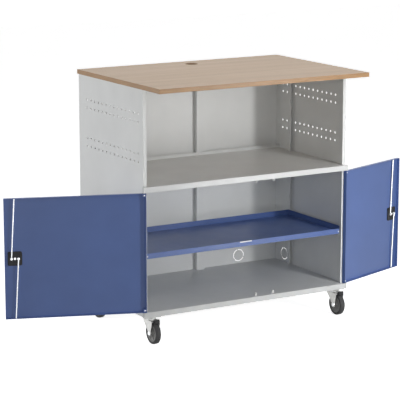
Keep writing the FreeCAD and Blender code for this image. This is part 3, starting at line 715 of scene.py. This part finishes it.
def door(hand):
    """A door tray, its lock strip, hinge blocks, lock, handle and rods."""
    body = f"{hand}_door"
    lock = f"{hand}_lock"
    place = door_frame(hand)

    softened(f"door_{hand}", BLUE, 0.0009, 3)
    softened(f"lock_strip_{hand}", BLUE, 0.0005)
    softened(f"hinge_pins_{hand}", BLUE, 0.0009)
    lock_case(hand, body, place)
    softened(f"lock_cam_{hand}", BLACK, 0.0007)
    for end in ("upper", "lower"):
        softened(f"rod_{end}_{hand}", ZINC, 0.0003)

    # bright pin ends and the centre screw of the cam
    for name, x, level, radius in (("pin_a", -15, 12.9, 4.6), ("pin_b", 15, 12.9, 4.6),
                                   ("centre_screw", 0, 7.0, 5.2)):
        top = SHEET_FACE + level * MM
        profile = [(top - 1.5 * MM, radius * MM), (top + 0.2 * MM, radius * MM),
                   (top + 0.9 * MM, radius * 0.8 * MM), (top + 1.3 * MM, radius * 0.35 * MM)]
        shape = lathe_out(profile, 32, (x * MM, 0))
        piece = new_piece(f"cam_{name}_{hand}", shape, place)
        placed(piece, lock, ZINC)

    # four screws of the lock case
    shape = bmesh.new()
    for x in (-25.5, 25.5):
        for z in (-25.5, 25.5):
            top = SHEET_FACE + 4.4 * MM
            copy_into(shape, lathe_out([(top, 3.4 * MM), (top + 0.8 * MM, 3.2 * MM),
                                        (top + 1.5 * MM, 1.8 * MM)], 24, (x * MM, z * MM)))
    placed(new_piece(f"lock_screws_{hand}", shape, place), body, BLACK)

    # a screw in each hinge block
    shape = bmesh.new()
    pin = place.inverted() @ Vector(JOINTS[f"{hand}_door_hinge"]["pos_m"])
    low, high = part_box(f"door_{hand}")
    x = pin.x - math.copysign(5.5 * MM, pin.x)
    top = SHEET_FACE + 11 * MM
    for level in (low.z + 8.5 * MM, high.z - 8.5 * MM):
        copy_into(shape, lathe_out([(top - 0.5 * MM, 2.7 * MM), (top + 0.7 * MM, 2.5 * MM),
                                    (top + 1.3 * MM, 1.3 * MM)], 24,
                                   (x, level - place.translation.z)))
    placed(new_piece(f"hinge_screws_{hand}", shape, place), body, ZINC)

    # handle: a round rose, a rounded grip and a key cylinder
    front = SHEET_FACE - 1.5 * MM
    shape = lathe_out([(front - 0.6 * MM, 22.9 * MM), (front - 3.0 * MM, 22.5 * MM),
                       (front - 4.8 * MM, 20.5 * MM), (front - 5.5 * MM, 17 * MM),
                       (front - 5.9 * MM, 9 * MM)], 64)
    placed(new_piece(f"handle_rose_{hand}", shape, place), lock, BLACK,
           [f"handle_{hand}"])
    shape = bmesh.new()
    steps, around = 28, 24
    rows = []
    for step in range(steps + 1):
        t = -1 + 2 * step / steps
        reach = 37.5 * math.sin(t * math.pi / 2)
        slim = math.sqrt(max(0.0, 1 - abs(t) ** 5))
        wide = (8.6 + 0.9 * math.cos(t * math.pi)) * max(slim, 0.12)
        thick = 7.8 * max(slim, 0.12)
        centre = front - 13.6 * MM
        rows.append([shape.verts.new((wide * MM * squircle(math.cos(a)),
                                      centre + thick * MM * squircle(math.sin(a)), reach * MM))
                     for a in (2 * math.pi * i / around for i in range(around))])
    for first, second in zip(rows, rows[1:]):
        for i in range(around):
            after = (i + 1) % around
            shape.faces.new((first[i], first[after], second[after], second[i]))
    shape.faces.new(rows[0])
    shape.faces.new(rows[-1])
    placed(new_piece(f"handle_grip_{hand}", shape, place, smooth=60), lock, BLACK)
    shape = lathe_out([(front - 18 * MM, 6.4 * MM), (front - 21.2 * MM, 6.2 * MM),
                       (front - 21.8 * MM, 5.6 * MM), (front - 21.8 * MM, 4.6 * MM),
                       (front - 21.5 * MM, 4.4 * MM)], 40)
    placed(new_piece(f"key_cylinder_{hand}", shape, place), lock, ZINC)


def squircle(value):
    """A cosine or sine pushed outwards, for a section between a circle and a square."""
    return math.copysign(abs(value) ** 0.72, value)


def port_lining():
    """The bare chipboard wall of the cable port in the worktop."""
    low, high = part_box("worktop_board")
    wall = [(low.z + 0.4 * MM, 29.95 * MM), (high.z - 0.9 * MM, 29.95 * MM),
            (high.z - 0.9 * MM, 29.4 * MM), (low.z + 0.4 * MM, 29.4 * MM)]
    shape = bmesh.new()
    lathe(shape, wall, 72)
    shape.transform(Matrix.Rotation(math.radians(-90), 4, "Y"))
    shape.transform(Matrix.Translation((LEFT + 531 * MM, FRONT + 500 * MM, 0)))
    placed(new_piece("port_lining", shape), "cabinet", CORE)


def shelf_plugs():
    """Small white plugs in the two ends of the shelf's front lip."""
    low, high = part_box("shelf_tray")
    shape = bmesh.new()
    for x in (low.x + 4.5 * MM, high.x - 4.5 * MM):
        plug = bmesh.new()
        lathe(plug, [(-0.5 * MM, 3.2 * MM), (0.8 * MM, 3.1 * MM), (1.4 * MM, 2.2 * MM),
                     (1.6 * MM, 0.6 * MM)], 24, closed=False)
        plug.transform(Matrix.Rotation(math.radians(-90), 4, "Z"))
        plug.transform(Matrix.Translation((x, low.y, low.z + 11 * MM)))
        copy_into(shape, plug)
    placed(new_piece("shelf_plugs", shape), "cabinet", NYLON)


def shelf_lip_painted_highlight():
    """A narrow white strip along the top edge of the shelf's front lip, at its middle: a painted
    highlight on the lip's edge.
    """
    low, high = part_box("shelf_tray")
    lip = low.z + 24 * MM
    centre = (low.x + high.x) / 2
    shape = bmesh.new()
    # a thin white block that paints the highlight along the lip's top edge
    block(shape, (centre - 31 * MM, low.y - 0.6 * MM, lip - 5.5 * MM),
          (centre + 31 * MM, low.y + 0.2 * MM, lip - 0.5 * MM))
    placed(new_piece("shelf_lip_painted_highlight", shape), "cabinet", HIGHLIGHT_AND_SLEEVE_WHITE)


# ---------------------------------------------------------------- stage

def stage():
    """A pale floor, a white backdrop, the world light and soft lights."""
    shape = bmesh.new()
    bmesh.ops.create_grid(shape, x_segments=1, y_segments=1, size=12)
    floor = new_piece("floor", shape)
    shape = bmesh.new()
    bmesh.ops.create_icosphere(shape, subdivisions=4, radius=30)
    dome = new_piece("backdrop", shape)
    for name, piece, glow in (("floor_paper", floor, 0.8), ("backdrop_paper", dome, 1.1)):
        paper = Nodes(name)
        paper.colour(paper.ramp(paper.noise(2.0), [(0.3, (0.90, 0.90, 0.90)),
                                                   (0.7, (0.92, 0.92, 0.92))]))
        paper.surface(Roughness=0.9, Specular_IOR_Level=0.05, Emission_Strength=glow,
                      Emission_Color=(1, 1, 1, 1))
        piece.data.materials.append(paper.material)
        piece.visible_diffuse = False
    dome.visible_shadow = False

    world = bpy.data.worlds.new("studio")
    world.use_nodes = True
    sky = world.node_tree.nodes["Background"]
    sky.inputs["Color"].default_value = (1, 1, 1, 1)
    sky.inputs["Strength"].default_value = 0.17
    bpy.context.scene.world = world

    centre = Vector(((LEFT + RIGHT) / 2, FRONT + 0.3, 0.6))
    softbox("key_strip", (RIGHT + 0.31, FRONT - 1.7, 1.0), centre, (0.1, 2.4), 30)
    softbox("front_fill", (LEFT - 2.0, FRONT - 3.4, 1.2), centre, (1.6, 2.0), 30)
    softbox("side_fill", (LEFT - 3.0, FRONT + 1.6, 1.3), centre, (2.0, 2.0), 56)
    softbox("top_fill", (0.3, 0.2, 4.2), centre, (2.4, 2.4), 44)
    softbox("door_fill", (RIGHT + 0.15, FRONT - 1.1, 0.45), (RIGHT + 0.25, FRONT - 0.1, 0.4),
            (0.5, 0.5), 4)
    bpy.context.scene.view_settings.view_transform = "Standard"


def softbox(name, place, target, sides, power):
    """A rectangular soft light that points at a target."""
    data = bpy.data.lights.new(name, "AREA")
    data.shape = "RECTANGLE"
    data.size, data.size_y = sides
    data.energy = power
    light = bpy.data.objects.new(name, data)
    light.location = place
    light.rotation_mode = "QUATERNION"
    light.rotation_quaternion = (Vector(target) - Vector(place)).to_track_quat("-Z", "Y")
    bpy.context.scene.collection.objects.link(light)


def camera():
    """A long lens from the front left, a little above the worktop."""
    data = bpy.data.cameras.new("camera")
    data.sensor_width = 36
    data.lens = 165.6
    data.clip_end = 100
    view = bpy.data.objects.new("camera", data)
    from_corner = Vector((-3.7212, -6.7817, 2.2126))
    downward, to_the_right = 11.483, 30.549
    view.location = Vector((LEFT, FRONT, 0)) + from_corner
    view.rotation_euler = (math.radians(90 - downward), 0, math.radians(-to_the_right))
    bpy.context.scene.collection.objects.link(view)
    bpy.context.scene.camera = view


carcass()
knockouts()
shelf_lip_painted_highlight()
shelf_plugs()
port_lining()
plates()
for corner_name in CORNERS:
    castor(corner_name)
pedals()
for hand_name in HANDS:
    door(hand_name)
stage()
camera()
